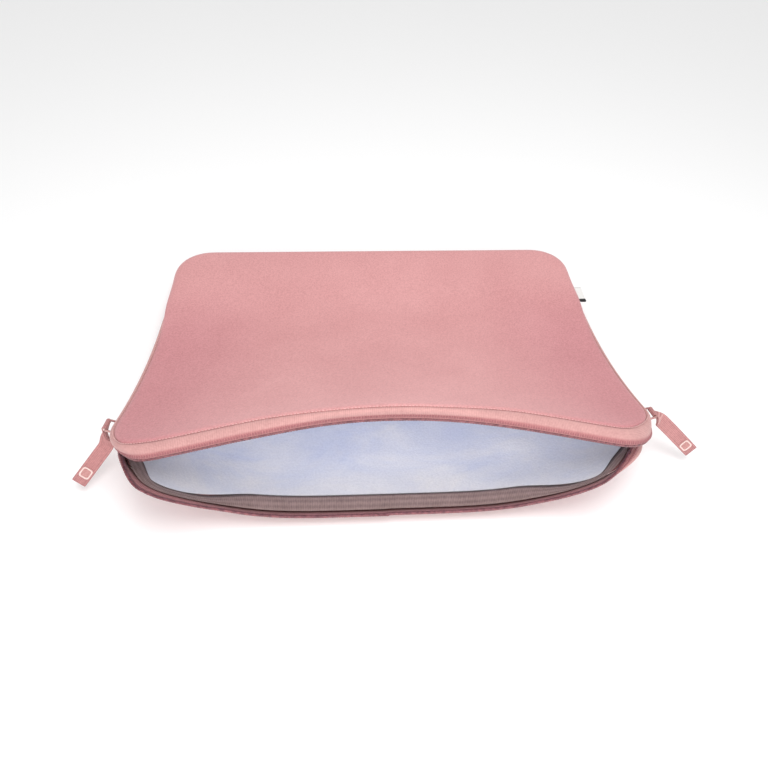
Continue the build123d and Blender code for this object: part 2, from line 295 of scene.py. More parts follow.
def pull_in(x, y, inset, seam_in):
    """A grid point of a panel: round at the corners, and drawn in where the zip is sewn on."""
    full = FOLD_FULL if seam_in else 0.0
    pull = seam_in - (full + seam_in) * smooth(y, *FULL_FADE)
    half = HALF - inset
    middle_y = (FRONT + BACK) / 2
    x = x * (half - pull) / half
    y = y - pull * (y - middle_y) / (BACK - inset - middle_y)
    return round_corner(x, y, inset + pull)


def upper_edge(x, y, edge):
    """Shape the upper panel's front edge, which the zip draws back either side of the middle."""
    drawn = lip_draw(x, y)[0] * (1 - smooth(edge, 0, 45 * MM))
    step_x, step_y = inward(x, y)
    return x + step_x * drawn, y + step_y * drawn


def lower_lining_edge(x, y, edge):
    """Fill the lower lining out into the front corners."""
    if y > 0:
        return x, y
    across = abs(x)
    side = side_of(x)
    near_edge = 1 - smooth(edge, 0, 30 * MM)
    if side == "left":
        share = smooth(across, 85 * MM, 132 * MM) * (1 - 0.45 * smooth(across, 144 * MM, 156 * MM))
    else:
        share = smooth(across, 85 * MM, 128 * MM) * (1 - smooth(across, 131 * MM, 143 * MM))
        share -= smooth(across, 141 * MM, 150 * MM) / 6
    return x, y - LINING_OUT[side] * share * near_edge * smooth(-y, 85 * MM, 105 * MM)


def pad(name, inset, outer, inner, seam_in=0.0, step=5.5 * MM, shape=None):
    """A closed soft sheet with round corners.
    outer and inner give a face's height from (x, y, distance in from the edge);
    shape moves a grid point in plan, from the same three."""
    xs = grid_lines(-HALF + inset, HALF - inset, step, RIMS, RIMS)
    ys = grid_lines(FRONT + inset, BACK - inset, step, RIMS, RIMS)
    columns = len(xs)
    rows = len(ys)
    vertices = []
    for height in (outer, inner):
        for y in ys:
            for x in xs:
                edge = min(x - xs[0], xs[-1] - x, y - ys[0], ys[-1] - y)
                px, py = pull_in(x, y, inset, seam_in)
                if shape:
                    px, py = shape(px, py, edge)
                vertices.append((px, py, height(px, py, edge)))
    faces = []
    lower = columns * rows
    for j in range(rows - 1):
        for i in range(columns - 1):
            a = j * columns + i
            quad = (a, a + 1, a + 1 + columns, a + columns)
            faces.append(quad)
            faces.append(tuple(lower + v for v in reversed(quad)))
    rim = list(range(columns))
    rim += [j * columns + columns - 1 for j in range(1, rows)]
    rim += [(rows - 1) * columns + i for i in range(columns - 2, -1, -1)]
    rim += [j * columns for j in range(rows - 2, 0, -1)]
    for i, a in enumerate(rim):
        b = rim[(i + 1) % len(rim)]
        faces.append((a, lower + a, lower + b, b))
    return new_object(name, vertices, faces)


def ripple(x, y, size, height, seed):
    """A gentle unevenness of the cloth."""
    return height * noise.noise(Vector((x / size, y / size, seed)))


# ---------------------------------------------------------------- the padded panels

def roll(edge, width, depth):
    """How far a rounded edge has dropped at a distance in from it."""
    if edge >= width:
        return 0.0
    return depth * (1 - math.sqrt(max(0.0, 1 - (1 - edge / width) ** 2)))


def folded_share(y):
    """0 beside the zip, 1 round the folded back."""
    return smooth(y, *FOLD_FADE)


def edge_drop(y, edge, seam_drop, fold_depth, fold_roll):
    """Drop of a face towards its edge: a small roll at the zip seam, a half round at the back."""
    back = folded_share(y)
    width = SEAM_ROLL + (fold_roll - SEAM_ROLL) * back
    depth = seam_drop + (fold_depth - seam_drop) * back
    return roll(edge, width, depth)


def lap(y, edge):
    """Extra turn-down of a panel's very edge round the back fold."""
    return FOLD_LAP * folded_share(y) if edge < 0.1 * MM else 0.0


def upper_face(x, y, edge):
    drop = edge_drop(y, edge, SEAM_DROP, WALL_TOP - MIDDLE, FOLD_ROLL) + lap(y, edge)
    wave = ripple(x, y, 55 * MM, 0.5 * MM, 3.1) * smooth(edge, 0, 20 * MM)
    return top_z(x, y) - drop + wave


def upper_core(x, y, edge):
    drop = edge_drop(y, edge, 0.0, WALL_TOP - PANEL - MIDDLE, FOLD_ROLL)
    return top_z(x, y) - PANEL - drop


def lower_face(x, y, edge):
    rise = edge_drop(y, edge, SEAM_DROP, MIDDLE, FOLD_ROLL) + lap(y, edge)
    return max(bottom_z(x, y) + rise, 0.0)


def lower_core(x, y, edge):
    rise = edge_drop(y, edge, 0.0, MIDDLE - PANEL, FOLD_ROLL)
    return bottom_z(x, y) + PANEL + rise


def upper_fleece(x, y, edge):
    drop = edge_drop(y, edge, 0.0, WALL_TOP - PANEL - FLEECE - MIDDLE, FOLD_ROLL / 2)
    wave = ripple(x, y, 34 * MM, 0.8 * MM, 8.2) * smooth(edge, 0, 15 * MM)
    return top_z(x, y) - PANEL - FLEECE - drop + wave


def lower_fleece(x, y, edge):
    rise = edge_drop(y, edge, 0.0, MIDDLE - PANEL - FLEECE, FOLD_ROLL / 2)
    wave = ripple(x, y, 34 * MM, 0.9 * MM, 5.7) * smooth(edge, 0, 15 * MM)
    return bottom_z(x, y) + PANEL + FLEECE + rise + wave


def lining_back(face, core_gap):
    """The hidden side of a lining, a set distance behind its plush face."""
    return lambda x, y, edge: face(x, y, edge) + core_gap


# ---------------------------------------------------------------- bodies that follow the wall

def lean(x, y):
    """How far the open lower wall's coil moves in plan (x, y), leaning forward."""
    across = abs(x)
    side = side_of(x)
    front = smooth(-y, 92 * MM, 106 * MM)
    if side == "left":
        forward = LEAN[side] + LEAN_MORE[side] * smooth(across, 96 * MM, 142 * MM)
        return 0.0, -forward * (1 - smooth(across, 143 * MM, 166 * MM)) * front
    forward = LEAN[side] + LEAN_MORE[side] * smooth(across, 90 * MM, 122 * MM)
    forward *= 1 - smooth(across, 124 * MM, 162 * MM)
    tuck = TUCK * smooth(across, 120 * MM, 160 * MM) * smooth(-y, 82 * MM, 106 * MM)
    return -tuck, -forward * front


def lower_wall_point(station, out, down, narrow):
    """A point of the lower wall (x, y, height above its panel), leaning out where the mouth is open.
    narrow squeezes the inner band towards the front corners."""
    x, y, nx, ny, _ = station
    if narrow and out < -3 * MM:
        corner = (138 * MM, 160 * MM) if x < 0 else (130 * MM, 152 * MM)
        squeeze = smooth(abs(x), 80 * MM, 122 * MM) * (1 - smooth(abs(x), *corner))
        squeeze = 1 - 0.75 * squeeze
        out = -3 * MM + (out + 3 * MM) * squeeze
    share = min(max((down - 2 * MM) / (9 * MM), 0.0), 1.2)
    share *= smooth(out, -9.5 * MM, -2.5 * MM)
    move_x, move_y = lean(x, y)
    sink = LEAN_SINK * smooth(-y, 92 * MM, 120 * MM)
    return x + nx * out + move_x * share, y + ny * out + move_y * share, down - sink * share


def upper_wall_point(station, out, down):
    """A point of the upper lip's wall: its seam drawn back, its coil standing forward."""
    x, y, nx, ny, _ = station
    drawn, stands = lip_draw(x, y)
    share = smooth(down, 1.5 * MM, 10.5 * MM)
    out += stands * share - drawn * (1 - share)
    return x + nx * out, y + ny * out, down


def wall_loop(station, section, height, direction, narrow=False):
    """Section points (outward, away from the panel face) placed at a wall station.
    narrow is for the inner band, which lies flat where the sliders run."""
    points = []
    closed = smooth(station[1], -98 * MM, -82 * MM)
    for out, down in section:
        if out > 0:
            out *= 1 - 0.85 * smooth(station[1], 35 * MM, FOLD_START)
        elif narrow:
            out -= 2.0 * MM * closed
            down -= 2.0 * MM * closed
        if direction > 0:
            px, py, down = lower_wall_point(station, out, down, narrow)
        else:
            px, py, down = upper_wall_point(station, out, down)
        points.append((px, py, height(px, py) + direction * down))
    return points


def wall_piece(name, section, height, direction, step, narrow=False):
    """A band of one section along the zipped wall. direction is -1 below the upper panel, 1 above
    the lower one."""
    loops = []
    coords = []
    run = 0.0
    lengths = [0.0]
    for a, b in zip(section, section[1:]):
        run += math.dist(a, b)
        lengths.append(run)
    for station in wall_path(step):
        loops.append(wall_loop(station, section, height, direction, narrow))
        coords.append([(station[4], across, 0.0) for across in lengths])
    return swept(name, loops, coords)


def coil_piece(name, height, direction):
    """A coil row: one rounded rib for each turn of the filament."""
    phases = 4
    half_tall = (COIL_FAR - COIL_NEAR) / 2
    half_thick = 1.2 * MM
    middle = (COIL_FAR + COIL_NEAR) / 2
    loops = []
    for i, station in enumerate(wall_path(COIL_PITCH / phases, COIL_END)):
        swell = 0.78 + 0.22 * math.sin(math.pi * (i % phases + 0.5) / phases)
        section = []
        for k in range(10):
            angle = 2 * math.pi * k / 10
            out = -0.5 * MM + half_thick * swell * math.cos(angle)
            section.append((out, middle + half_tall * swell * math.sin(angle)))
        loops.append(wall_loop(station, section, height, direction))
    return swept(name, loops)


def threads(name, stitches, thick):
    """Sewn stitches: a short rounded thread for each (start, end, direction it lies proud in)."""
    vertices = []
    faces = []
    sides = 6
    profile = ((0.0, 0.35), (0.22, 1.0), (0.78, 1.0), (1.0, 0.35))
    for start, end, proud in stitches:
        along = (end - start).normalized()
        side = along.cross(proud).normalized()
        base = len(vertices)
        for t, size in profile:
            middle = start.lerp(end, t) - proud * (thick * 0.5 * (1 - size))
            for k in range(sides):
                angle = 2 * math.pi * k / sides
                offset = proud * (math.cos(angle) * size) + side * (math.sin(angle) * size)
                vertices.append(middle + offset * thick)
        for ring in range(len(profile) - 1):
            for k in range(sides):
                p = base + ring * sides + k
                q = base + ring * sides + (k + 1) % sides
                faces.append((p, q, q + sides, p + sides))
        last = base + (len(profile) - 1) * sides
        faces.append(tuple(base + k for k in reversed(range(sides))))
        faces.append(tuple(last + k for k in range(sides)))
    return new_object(name, vertices, faces)


def seam_row(name, out, down, height, direction, pitch, thick):
    """A line of running stitches along the wall."""
    stitches = []
    stations = wall_path(pitch)
    for a, b in zip(stations, stations[1:]):
        start = Vector(wall_loop(a, [(out, down)], height, direction)[0])
        end = Vector(wall_loop(b, [(out, down)], height, direction)[0])
        stitches.append((start, start.lerp(end, 0.68), Vector((a[2], a[3], 0))))
    return threads(name, stitches, thick)


def coil_row(name, out, near, far, height, direction, pitch, thick):
    """The stitches that hold a coil to its tape: upright ticks, one for each turn."""
    stitches = []
    for a in wall_path(pitch, COIL_END):
        start, end = wall_loop(a, [(out, near), (out, far)], height, direction)
        stitches.append((Vector(start), Vector(end), Vector((a[2], a[3], 0))))
    return threads(name, stitches, thick)


def section_mm(*points):
    """A wall section given in millimetres: out from the wall, down from the panel face."""
    return [(out * MM, down * MM) for out, down in points]


TAPE_SECTION = section_mm(
    (-1.6, 3.0), (-1.1, 2.1), (-0.3, 1.8), (0.7, 2.1), (1.6, 3.0), (2.1, 4.4), (1.9, 6.2),
    (1.2, 8.0), (0.75, 9.2), (0.6, 9.8), (0.8, 10.5), (0.5, 11.2), (-0.2, 11.5), (-1.0, 11.1),
    (-1.2, 9.0), (-1.0, 6.4), (-1.2, 4.2))

BAND_SECTION = section_mm(
    (-3.0, 9.0), (-3.2, 9.7), (-3.9, 9.8), (-5.5, 9.3), (-7.2, 8.5), (-8.4, 7.7), (-9.0, 6.9),
    (-9.6, 5.9), (-10.8, 5.4), (-10.8, 4.9), (-9.0, 5.1), (-6.0, 7.4))


# ---------------------------------------------------------------- pulls and trim

def strap_stations(side):
    """Stations down a strap: (middle, across, along, facing), on the side it belongs to."""
    shape = STRAPS[side]
    joint = JOINTS[f"strap_swing_{side}"]
    bar = Vector(joint["pos_m"])
    bar.x = abs(bar.x)
    axis = Vector((0, -abs(joint["axis"][1]), abs(joint["axis"][2])))
    chain_up = Vector((0, axis.z, -axis.y))
    droop = math.radians(shape["droop"])
    leave = Vector((1, 0, 0)) * math.cos(droop) - chain_up * math.sin(droop)
    start = bar + leave * (BAR_RADIUS + 0.4 * MM)
    tip = Vector(shape["tip"]) * MM
    run = Vector(shape["run"]).normalized()
    knee = tip - run * (shape["flat"] * MM)
    leaving = start + leave * STRAP_HANDLE
    arriving = knee - run * STRAP_HANDLE
    facing = Vector(shape["facing"])
    stations = []
    count = 14
    for i in range(1, count + 1):
        t = i / count
        u = 1 - t
        middle = start * u ** 3 + (leaving * u + arriving * t) * (3 * u * t) + knee * t ** 3
        along = (leaving - start) * u ** 2 + (arriving - leaving) * (2 * u * t) + (knee - arriving) * t ** 2
        along = along.normalized()
        turn = smooth(t, 0, shape["twist"])
        across = -axis * (1 - turn) + facing.cross(along).normalized() * turn
        across = (across - along * across.dot(along)).normalized()
        stations.append((middle, across, along, along.cross(across)))
    middle, across, along, face = stations[-1]
    for i in range(1, 8):
        stations.append((middle.lerp(tip, i / 7), across, along, face))
    mirror = Vector((1 if side == "right" else -1, 1, 1))
    return [tuple(v * mirror for v in station) for station in stations], bar * mirror, leave * mirror


def ribbon_section(width, thick):
    """A flat woven ribbon's section: rounded, a little fuller at its selvedges."""
    half = width / 2
    t = thick / 2
    return [(-half, 0), (-half + t * 0.4, t * 0.9), (-half + t * 1.6, t), (-half + t * 3.4, t * 0.8),
            (0, t * 0.86), (half - t * 3.4, t * 0.8), (half - t * 1.6, t), (half - t * 0.4, t * 0.9),
            (half, 0), (half - t * 0.4, -t * 0.9), (half - t * 1.6, -t), (half - t * 3.4, -t * 0.8),
            (0, -t * 0.86), (-half + t * 3.4, -t * 0.8), (-half + t * 1.6, -t),
            (-half + t * 0.4, -t * 0.9)]


def make_strap(side):
    """Webbing folded double round the ring's bar, with its stitching."""
    stations, bar, leave = strap_stations(side)
    gap = STRAP_LAYER * 0.56
    path = [(m - f * gap, a, f) for m, a, _, f in reversed(stations)]
    across = stations[0][1]
    face = stations[0][3]
    radius = BAR_RADIUS + STRAP_LAYER * 0.62
    for degree in range(-130, 131, 26):
        angle = math.radians(degree)
        spoke = leave * -math.cos(angle) + face * math.sin(angle)
        path.append((bar + spoke * radius, across, spoke))
    path += [(m + f * gap, a, f) for m, a, _, f in stations]
    near_end = 0.25 * MM * stations[-1][2]      # holds the free ends square when smoothed
    path.insert(1, (path[0][0] - near_end, *path[0][1:]))
    path.insert(-1, (path[-1][0] - near_end, *path[-1][1:]))
    section = ribbon_section(STRAP_WIDTH, STRAP_LAYER)
    loops = []
    coords = []
    run = 0.0
    last = path[0][0]
    for i, (middle, across, face) in enumerate(path):
        run += (middle - last).length
        last = middle
        flip = -1 if i <= len(stations) else 1
        loops.append([middle + across * u + face * (v * flip) for u, v in section])
        coords.append([(run, u, 0.0) for u, _ in section])
    strap = subdivide(swept(f"pull_webbing_{side}", loops, coords))
    dress(strap, WEBBING)
    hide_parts(f"pull_strap_{side}")
    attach(strap, f"strap_{side}")

    stitches = []
    reach = STRAP_WIDTH / 2 - 1.1 * MM
    for near in (2, 3):
        middle, across, along, face = stations[near]
        top = middle + face * (gap + STRAP_LAYER * 0.5)
        for k in range(9):
            offset = across * (reach * (k - 4) / 4)
            slant = across * (0.25 * MM)
            start = top + offset - along * (1.0 * MM) - slant
            stitches.append((start, start + along * (2.0 * MM) + slant * 2, face))
    sewn = threads(f"pull_bartack_{side}", stitches, 0.28 * MM)
    dress(sewn, THREAD)
    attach(sewn, f"strap_{side}")


def make_patch(side):
    """A plain moulded patch: a raised rounded frame round a sunk face."""
    stations, _, _ = strap_stations(side)
    tip, across, along, face = stations[-1]
    centre = tip - along * PATCH_FROM_TIP + face * (STRAP_LAYER * 1.05)
    half = PATCH_SIZE / 2
    steps = 8
    rings = ((1.0, 0.0), (1.0, 0.55), (0.94, 0.8), (0.80, 0.8), (0.73, 0.45), (0.30, 0.4))
    vertices = []
    count = 4 * steps
    for scale, lift in rings:
        for k in range(count):
            angle = 2 * math.pi * (k + 0.5) / count
            c = math.cos(angle)
            s = math.sin(angle)
            reach = half * scale / (abs(c) ** 5 + abs(s) ** 5) ** 0.2
            vertices.append(centre + across * (reach * c) + along * (reach * s) + face * (lift * MM))
    faces = [tuple(reversed(range(count)))]
    for ring in range(len(rings) - 1):
        for k in range(count):
            a = ring * count + k
            b = ring * count + (k + 1) % count
            faces.append((a, b, b + count, a + count))
    last = (len(rings) - 1) * count
    faces.append(tuple(range(last, last + count)))
    patch = new_object(f"grip_patch_{side}", vertices, faces)
    dress(patch, GRIP)
    patch.data.materials.append(GRIP_FACE)
    for polygon in patch.data.polygons[1 + 4 * count:]:
        polygon.material_index = 1
    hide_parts(f"pull_patch_{side}")
    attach(patch, f"strap_{side}")


def make_tab(side, sign):
    """Folded scrap of tape sewn over the rear end of the chain."""
    low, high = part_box(f"side_tab_{side}")
    middle = (low + high) / 2
    tall = (high.z - low.z) / 2
    long = (high.y - low.y) / 2
    wall = sign * HALF
    section = []
    for k in range(24):
        angle = 2 * math.pi * k / 24
        c = math.cos(angle)
        s = math.sin(angle)
        reach = 1 / (abs(c) ** 4 + abs(s) ** 4) ** 0.25
        section.append((reach * c * long, reach * s * tall))
    loops = []
    for out, scale in ((-0.4, 1.0), (0.7, 1.0), (1.05, 0.93), (1.15, 0.7), (1.2, 0.3)):
        x = wall + sign * out * MM
        loops.append([(x, middle.y + y * scale, middle.z + z * scale) for y, z in section])
    coords = [[(y, z, 0.0) for y, z in section] for _ in loops]
    tab = subdivide(swept(f"end_tab_{side}", loops, coords))
    dress(tab, TAPE_CLOTH)
    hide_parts(f"side_tab_{side}")
    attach(tab, "sleeve")


def make_label():
    """A folded woven loop label caught in the side seam."""
    low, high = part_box("side_label")
    low.x += LABEL_OUT
    high.x += LABEL_OUT
    middle = (low.z + high.z) / 2
    reach = high.x - low.x
    thin = 0.22 * MM
    loop_radius = 0.9 * MM
    end = low.x + reach - loop_radius
    outer = []
    inner = []
    for degree in range(-90, 91, 15):
        c = math.cos(math.radians(degree))
        d = math.sin(math.radians(degree))
        outer.append((end + loop_radius * c, loop_radius * d))
        inner.append((end + (loop_radius - thin) * c, (loop_radius - thin) * d))
    root_out = [(low.x - 1.5 * MM, -0.35 * MM), (low.x + reach * 0.4, -0.75 * MM)]
    root_in = [(x, z + thin) for x, z in root_out]
    top_out = [(x, -z) for x, z in reversed(root_out)]
    top_in = [(x, -z) for x, z in reversed(root_in)]
    profile = root_out + outer + top_out + list(reversed(root_in + inner + top_in))
    loops = []
    coords = []
    steps = 16
    for i in range(steps + 1):
        y = low.y + (high.y - low.y) * i / steps
        sag = 0.35 * MM * math.sin(math.pi * i / steps)
        loops.append([(x, y, middle + z - sag * (x - low.x) / reach) for x, z in profile])
        coords.append([(y - low.y, x - low.x, 0.0) for x, _ in profile])
    label = swept("woven_side_label", loops, coords)
    dress(label, LABEL)
    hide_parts("side_label")
    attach(label, "sleeve")


# ---------------------------------------------------------------- materials

WAVE_TURN = 2 * math.pi / 20        # a wave texture's scale, times the pitch of its bands


class Paint:
    """A small helper round one procedural material."""

    def __init__(self, name, roughness, sheen=0.0, metallic=0.0):
        self.material = bpy.data.materials.new(name)
        self.material.use_nodes = True
        self.tree = self.material.node_tree
        self.shader = self.tree.nodes["Principled BSDF"]
        self.shader.inputs["Roughness"].default_value = roughness
        self.shader.inputs["Metallic"].default_value = metallic
        if sheen:
            self.shader.inputs["Sheen Weight"].default_value = sheen
            self.shader.inputs["Sheen Roughness"].default_value = 0.45

    def node(self, kind, **values):
        made = self.tree.nodes.new("ShaderNode" + kind)
        for key, value in values.items():
            if key in made.inputs:
                made.inputs[key].default_value = value
            else:
                setattr(made, key, value)
        return made

    def link(self, source, target):
        self.tree.links.new(source, target)

    def place(self, scale=(1, 1, 1)):
        """Object coordinates times a scale."""
        source = self.node("TexCoord")
        mapping = self.node("Mapping")
        mapping.inputs["Scale"].default_value = scale
        self.link(source.outputs["Object"], mapping.inputs["Vector"])
        return mapping.outputs["Vector"]

    def weave_place(self):
        """A woven piece's own coordinates: along it and across it, in metres."""
        return self.node("Attribute", attribute_name="weave").outputs["Vector"]

    def ramp(self, factor, stops):
        made = self.node("ValToRGB")
        band = made.color_ramp
        while len(band.elements) < len(stops):
            band.elements.new(0.5)
        for element, (position, colour) in zip(band.elements, stops):
            element.position = position
            element.color = (*colour, 1)
        self.link(factor, made.inputs["Fac"])
        return made.outputs["Color"]

    def fade(self, value, start, end):
        """0 at start and 1 at end, with soft ends."""
        made = self.node("MapRange", interpolation_type="SMOOTHSTEP")
        self.link(value, made.inputs["Value"])
        made.inputs["From Min"].default_value = start
        made.inputs["From Max"].default_value = end
        return made.outputs["Result"]

    def mix(self, kind, amount, first, second):
        made = self.node("MixRGB", blend_type=kind)
        for socket, value in (("Fac", amount), ("Color1", first), ("Color2", second)):
            if isinstance(value, bpy.types.NodeSocket):
                self.link(value, made.inputs[socket])
            elif socket == "Fac":
                made.inputs[socket].default_value = value
            else:
                made.inputs[socket].default_value = (*value, 1)
        return made.outputs["Color"]

    def bump(self, heights):
        """Stack bumps given as (height socket, strength, distance in metres)."""
        normal = None
        for height, strength, distance in heights:
            made = self.node("Bump", Strength=strength, Distance=distance)
            self.link(height, made.inputs["Height"])
            if normal is not None:
                self.link(normal, made.inputs["Normal"])
            normal = made.outputs["Normal"]
        self.link(normal, self.shader.inputs["Normal"])

    def colour(self, socket):
        self.link(socket, self.shader.inputs["Base Color"])


def knit_material():
    """Fine matte knit over foam: tiny loops, soft mottling, and painted shade that makes it darker and
    deeper in colour towards the front sides."""
    paint = Paint("outer_knit", 0.82, sheen=0.18)
    place = paint.place()
    cloud = paint.node("TexNoise", Scale=14.0, Detail=3.0, Roughness=0.55)
    fleck = paint.node("TexNoise", Scale=800.0, Detail=3.0, Roughness=0.7)
    loops = paint.node("TexVoronoi", Scale=1100.0)
    for texture in (cloud, fleck, loops):
        paint.link(place, texture.inputs["Vector"])
    base = paint.ramp(cloud.outputs["Fac"], [(0.30, (0.635, 0.29, 0.292)), (0.70, (0.70, 0.34, 0.34))])
    grain = paint.ramp(fleck.outputs["Fac"], [(0.36, (0.80, 0.77, 0.77)), (0.62, (1.0, 1.0, 1.0))])
    # painted shade: darker and more saturated towards the sides and the front
    parts = paint.node("SeparateXYZ")
    paint.link(place, parts.inputs["Vector"])
    across = paint.node("Math", operation="ABSOLUTE")
    paint.link(parts.outputs["X"], across.inputs[0])
    side = paint.fade(across.outputs["Value"], 0.05, 0.155)
    front = paint.fade(parts.outputs["Y"], 0.10, 0.0)
    painted_side_shade = paint.node("Math", operation="MULTIPLY")
    paint.link(side, painted_side_shade.inputs[0])
    paint.link(front, painted_side_shade.inputs[1])
    shade_painted_base = paint.mix("MULTIPLY", painted_side_shade.outputs["Value"], base, (0.85, 0.74, 0.79))
    paint.colour(paint.mix("MULTIPLY", 1.0, shade_painted_base, grain))
    paint.bump([(loops.outputs["Distance"], 0.5, 0.0003), (fleck.outputs["Fac"], 0.4, 0.0003)])
    return paint.material


def fleece_material():
    """Short pale plush with brushed patches, and painted shade that makes it a little darker along the
    mouth.
    """
    paint = Paint("plush_lining", 0.95, sheen=0.45)
    place = paint.place()
    stretched = paint.place((0.5, 1.0, 1.0))
    brushed = paint.node("TexNoise", Scale=30.0, Detail=4.0, Roughness=0.6, Distortion=0.6)
    pile = paint.node("TexNoise", Scale=700.0, Detail=3.0, Roughness=0.7)
    paint.link(stretched, brushed.inputs["Vector"])
    paint.link(place, pile.inputs["Vector"])
    base = paint.ramp(brushed.outputs["Fac"], [(0.35, (0.76, 0.80, 0.95)), (0.65, (0.92, 0.92, 0.97))])
    tips = paint.ramp(pile.outputs["Fac"], [(0.30, (0.88, 0.88, 0.90)), (0.70, (1.0, 1.0, 1.0))])
    # painted shade: darker along the mouth
    parts = paint.node("SeparateXYZ")
    paint.link(place, parts.inputs["Vector"])
    painted_mouth_shade = paint.fade(parts.outputs["Y"], -0.080, -0.112)
    shade_painted_base = paint.mix("MULTIPLY", painted_mouth_shade, base, (0.80, 0.78, 0.75))
    paint.colour(paint.mix("MULTIPLY", 1.0, shade_painted_base, tips))
    paint.bump([(brushed.outputs["Fac"], 0.5, 0.0012), (pile.outputs["Fac"], 0.6, 0.0005)])
    return paint.material


def woven_material(name, dark, light, rib, across, depth=0.5, edge=None, painted_shade_tint=None):
    """Woven tape or webbing with ribs across and along its length, and thread flecks. rib and across are
    the pitches in metres; past edge, a (start, end) in metres round the section, the cloth is multiplied by
    the given tint, a painted shade."""
    paint = Paint(name, 0.78, sheen=0.15)
    place = paint.weave_place()
    ribs = paint.node("TexWave", bands_direction="X", Scale=WAVE_TURN / rib, Distortion=0.5)
    cords = paint.node("TexWave", bands_direction="Y", Scale=WAVE_TURN / across, Distortion=0.8)
    fleck = paint.node("TexNoise", Scale=600.0, Detail=4.0, Roughness=0.7)
    wear = paint.node("TexNoise", Scale=45.0, Detail=3.0, Roughness=0.6)
    for texture in (ribs, cords, fleck, wear):
        paint.link(place, texture.inputs["Vector"])
    cloth = paint.mix("MIX", 0.5, ribs.outputs["Color"], cords.outputs["Color"])
    speckled = paint.mix("MIX", 0.65, cloth, fleck.outputs["Color"])
    shade = paint.mix("MIX", 0.25, speckled, wear.outputs["Color"])
    colour = paint.ramp(shade, [(0.30, dark), (0.66, light)])
    # painted shade: past edge round the section the cloth is multiplied by the darker tint
    if edge:
        parts = paint.node("SeparateXYZ")
        paint.link(place, parts.inputs["Vector"])
        share = paint.fade(parts.outputs["Y"], *edge)
        fade = paint.ramp(share, [(0.0, (1, 1, 1)), (1.0, painted_shade_tint)])
        colour = paint.mix("MULTIPLY", 1.0, colour, fade)
    paint.colour(colour)
    paint.bump([(cloth, depth, 0.0003), (fleck.outputs["Fac"], 0.35, 0.0002)])
    return paint.material


def coil_material(name, dark, light):
    """Dyed nylon filament: satin, darker in the grooves."""
    paint = Paint(name, 0.42)
    place = paint.place()
    fleck = paint.node("TexNoise", Scale=500.0, Detail=2.0)
    paint.link(place, fleck.inputs["Vector"])
    paint.colour(paint.ramp(fleck.outputs["Fac"], [(0.35, dark), (0.65, light)]))
    paint.bump([(fleck.outputs["Fac"], 0.2, 0.0001)])
    return paint.material


def thread_material(name, colour):
    """Sewing thread with a slight twist."""
    paint = Paint(name, 0.6, sheen=0.2)
    place = paint.place()
    twist = paint.node("TexNoise", Scale=1500.0, Detail=2.0)
    paint.link(place, twist.inputs["Vector"])
    dark = tuple(c * 0.8 for c in colour)
    paint.colour(paint.ramp(twist.outputs["Fac"], [(0.3, dark), (0.7, colour)]))
    paint.bump([(twist.outputs["Fac"], 0.3, 0.0001)])
    return paint.material


def enamel_material():
    """Pink enamelled zinc, its edges lighter: partly wear, partly painted highlight."""
    paint = Paint("enamelled_zinc", 0.33, metallic=0.35)
    place = paint.place()
    blotch = paint.node("TexNoise", Scale=260.0, Detail=4.0, Roughness=0.6)
    paint.link(place, blotch.inputs["Vector"])
    geometry = paint.node("NewGeometry")
    # partly wear, partly painted highlight: sharp edges take a lighter pink
    edge = paint.ramp(geometry.outputs["Pointiness"], [(0.50, (0, 0, 0)), (0.60, (1, 1, 1))])
    base = paint.ramp(blotch.outputs["Fac"], [(0.35, (0.24, 0.09, 0.09)), (0.65, (0.36, 0.16, 0.15))])
    paint.colour(paint.mix("MIX", edge, base, (0.78, 0.58, 0.54)))
    paint.bump([(blotch.outputs["Fac"], 0.15, 0.0001)])
    return paint.material


def rubber_material(name, dark, light):
    """Moulded soft rubber with a fine matte grain."""
    paint = Paint(name, 0.6)
    place = paint.place()
    grain = paint.node("TexNoise", Scale=1200.0, Detail=2.0)
    paint.link(place, grain.inputs["Vector"])
    paint.colour(paint.ramp(grain.outputs["Fac"], [(0.35, dark), (0.65, light)]))
    paint.bump([(grain.outputs["Fac"], 0.3, 0.0001)])
    return paint.material


def label_material():
    """Off-white woven ribbon with a plain dark end."""
    paint = Paint("label_cloth", 0.8, sheen=0.1)
    place = paint.weave_place()
    ribs = paint.node("TexWave", bands_direction="X", Scale=WAVE_TURN / (0.5 * MM), Distortion=0.3)
    paint.link(place, ribs.inputs["Vector"])
    parts = paint.node("SeparateXYZ")
    paint.link(place, parts.inputs["Vector"])
    metres = paint.node("Math", operation="MULTIPLY")
    paint.link(parts.outputs["X"], metres.inputs[0])
    metres.inputs[1].default_value = 50.0
    cloth = paint.ramp(ribs.outputs["Color"], [(0.1, (0.68, 0.67, 0.65)), (0.8, (0.84, 0.83, 0.81))])
    end = paint.ramp(metres.outputs["Value"], [(0.11, (1, 1, 1)), (0.13, (0, 0, 0))])
    paint.colour(paint.mix("MIX", end, cloth, (0.02, 0.018, 0.02)))
    paint.bump([(ribs.outputs["Color"], 0.4, 0.0002)])
    return paint.material


def dress(obj, material):
    """Give a piece one material."""
    obj.data.materials.clear()
    obj.data.materials.append(material)


def across_lip(obj):
    """Sewn to the upper panel, which stays behind the sliders and moves with the lip in front of them; here
    the piece only has its transform baked into its mesh.
    """
    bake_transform(obj)


# ---------------------------------------------------------------- build

KNIT = knit_material()
PLUSH = fleece_material()
# painted shade: the tape's lower outer face, hem and inner side are darker and more mauve towards the coil
TAPE_CLOTH = woven_material("zip_tape", (0.39, 0.185, 0.18), (0.64, 0.345, 0.325), 1.0 * MM, 0.8 * MM,
                            edge=(7.6 * MM, 9.6 * MM), painted_shade_tint=(0.74, 0.56, 0.60))
